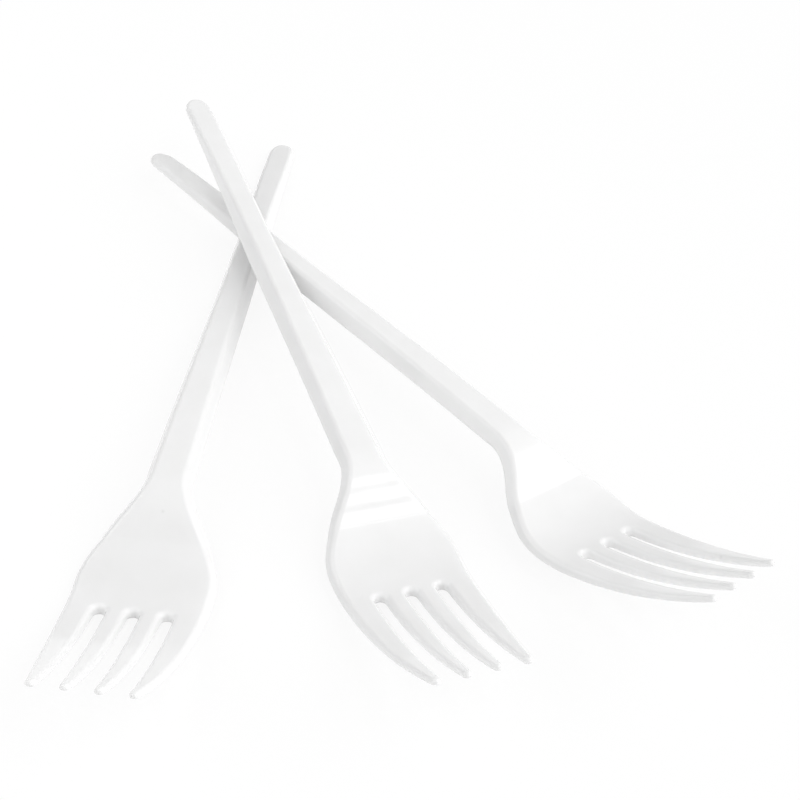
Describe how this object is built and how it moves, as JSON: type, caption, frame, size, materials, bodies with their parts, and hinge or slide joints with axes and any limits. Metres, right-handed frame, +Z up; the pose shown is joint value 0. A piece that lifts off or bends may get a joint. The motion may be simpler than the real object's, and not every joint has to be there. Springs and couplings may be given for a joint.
{
  "type": "plastic fork set",
  "caption": "Glossy white disposable plastic forks lying across one another, with flat-topped channel handles and four curved tines each.",
  "frame": {"origin": "centre of the bounding box in plan, on the surface that the forks lie on", "axes": "+Z up; +Y from the tines towards the handle ends; +X to the right as seen from the tines"},
  "size_m": [0.1276, 0.1724, 0.0191],
  "materials": {
    "white_plastic": "gloss"
  },
  "bodies": {
    "root": {"bottom_fork": "white_plastic", "middle_fork": "white_plastic", "top_fork": "white_plastic"}
  },
  "joints": []
}
